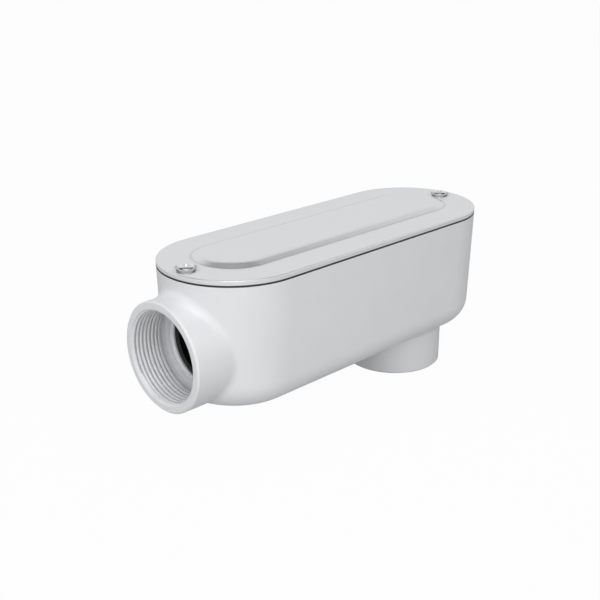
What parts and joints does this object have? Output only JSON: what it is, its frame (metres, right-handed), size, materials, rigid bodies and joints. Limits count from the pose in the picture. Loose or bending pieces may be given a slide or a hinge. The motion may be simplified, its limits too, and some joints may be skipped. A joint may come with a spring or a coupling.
{
  "type": "conduit body",
  "caption": "Cast conduit body with a threaded hub on its end and another on its back, closed by a gasketed cover with pan head screws.",
  "frame": {"origin": "centre of the back hub's mouth", "axes": "+Z along the back hub's axis up through the cover, +X along the body away from the end hub, which opens towards -X"},
  "size_m": [0.2198, 0.0764, 0.0944],
  "materials": {
    "housing_paint": "light grey powder coat on die-cast aluminium, satin",
    "cover_paint": "light grey powder coat on cast aluminium, satin",
    "gasket_rubber": "matt black sheet rubber",
    "screw_steel": "bright plated steel"
  },
  "bodies": {
    "root": {"housing": "housing_paint", "gasket": "gasket_rubber", "cover": "cover_paint", "cover_screw_end_hub": "screw_steel", "cover_screw_back_hub": "screw_steel"}
  },
  "joints": []
}
